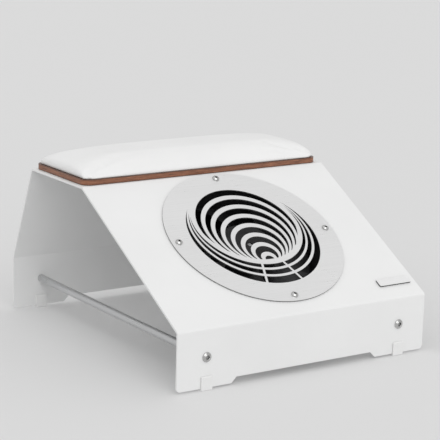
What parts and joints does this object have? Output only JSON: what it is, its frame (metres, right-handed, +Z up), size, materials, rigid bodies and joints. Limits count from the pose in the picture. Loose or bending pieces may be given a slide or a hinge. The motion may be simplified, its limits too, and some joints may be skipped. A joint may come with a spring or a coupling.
{
  "type": "nail dust collector",
  "caption": "Bent sheet-metal hand rest with a sloping front, a round laser-cut grille over a suction fan, a dust bag, side tie rods and a padded wooden armrest.",
  "frame": {"origin": "on the table at the middle of the footprint", "axes": "+Z up, -Y is the skirt with the nameplate above it, +X to the right seen from the front"},
  "size_m": [0.294, 0.3336, 0.1877],
  "materials": {
    "powder_coat": "fine satin powder coat, white",
    "brushed_steel": "straight-brushed stainless sheet",
    "satin_aluminium": "fine satin aluminium",
    "rod_steel": "ground bar",
    "screw_steel": "bright stainless",
    "white_plastic": "satin moulded",
    "stained_wood": "stained red-brown plywood, satin lacquer",
    "white_leather": "soft artificial leather, white",
    "foam": "closed-cell foam",
    "black_plastic": "moulded, fine grain",
    "copper": "varnished copper windings",
    "black_rubber": "matt",
    "brass": "plain",
    "bag_cloth": "dense woven polyester"
  },
  "bodies": {
    "frame": {"body_shell": "powder_coat", "grille_plate": "brushed_steel", "nameplate": "satin_aluminium", "tie_rod_left": "rod_steel", "tie_rod_right": "rod_steel", "rod_screw_front_left": "screw_steel", "rod_screw_front_right": "screw_steel", "rod_screw_rear_left": "screw_steel", "rod_screw_rear_right": "screw_steel", "grille_screw_top": "screw_steel", "grille_screw_right": "screw_steel", "grille_screw_bottom": "screw_steel", "grille_screw_left": "screw_steel", "grille_nut_top": "screw_steel", "grille_nut_right": "screw_steel", "grille_nut_bottom": "screw_steel", "grille_nut_left": "screw_steel", "armrest_screw_1": "screw_steel", "armrest_screw_2": "screw_steel", "armrest_screw_3": "screw_steel", "armrest_screw_4": "screw_steel", "inlet_screw_1": "screw_steel", "inlet_screw_2": "screw_steel", "inlet_nut_1": "screw_steel", "inlet_nut_2": "screw_steel", "fan_bearing_upper": "screw_steel", "fan_bearing_lower": "screw_steel", "switch_pin": "screw_steel", "foot_front_left": "white_plastic", "foot_front_right": "white_plastic", "foot_rear_left": "white_plastic", "foot_rear_right": "white_plastic", "cable_clip_top_1": "white_plastic", "cable_clip_top_2": "white_plastic", "cable_clip_back": "white_plastic", "armrest_board": "stained_wood", "armrest_cushion": "white_leather", "fan_gasket": "foam", "fan_housing": "black_plastic", "motor_mount": "black_plastic", "outlet_guard": "black_plastic", "power_inlet": "black_plastic", "switch_body": "black_plastic", "fan_terminal_box": "black_plastic", "fan_stator": "copper", "bag_band": "black_rubber", "fan_lead": "black_rubber", "link_lead": "black_rubber", "inlet_pin_line": "brass", "inlet_pin_neutral": "brass", "inlet_pin_earth": "brass", "dust_bag": "bag_cloth", "bag_base": "bag_cloth"},
    "fan": {"fan_rotor": "black_plastic", "fan_magnet_ring": "black_rubber", "fan_shaft": "rod_steel"},
    "rocker": {"switch_rocker": "black_plastic"}
  },
  "joints": [
    {"name": "fan_spin", "type": "hinge", "parent": "frame", "child": "fan", "pos_m": [0.002, -0.05313, 0.08831], "axis": [0, -0.4948, 0.869], "continuous": true},
    {"name": "switch_tilt", "type": "hinge", "parent": "frame", "child": "rocker", "pos_m": [0.076, 0.15248, 0.08806], "axis": [1, 0, 0], "range_deg": [-18, 0]}
  ]
}
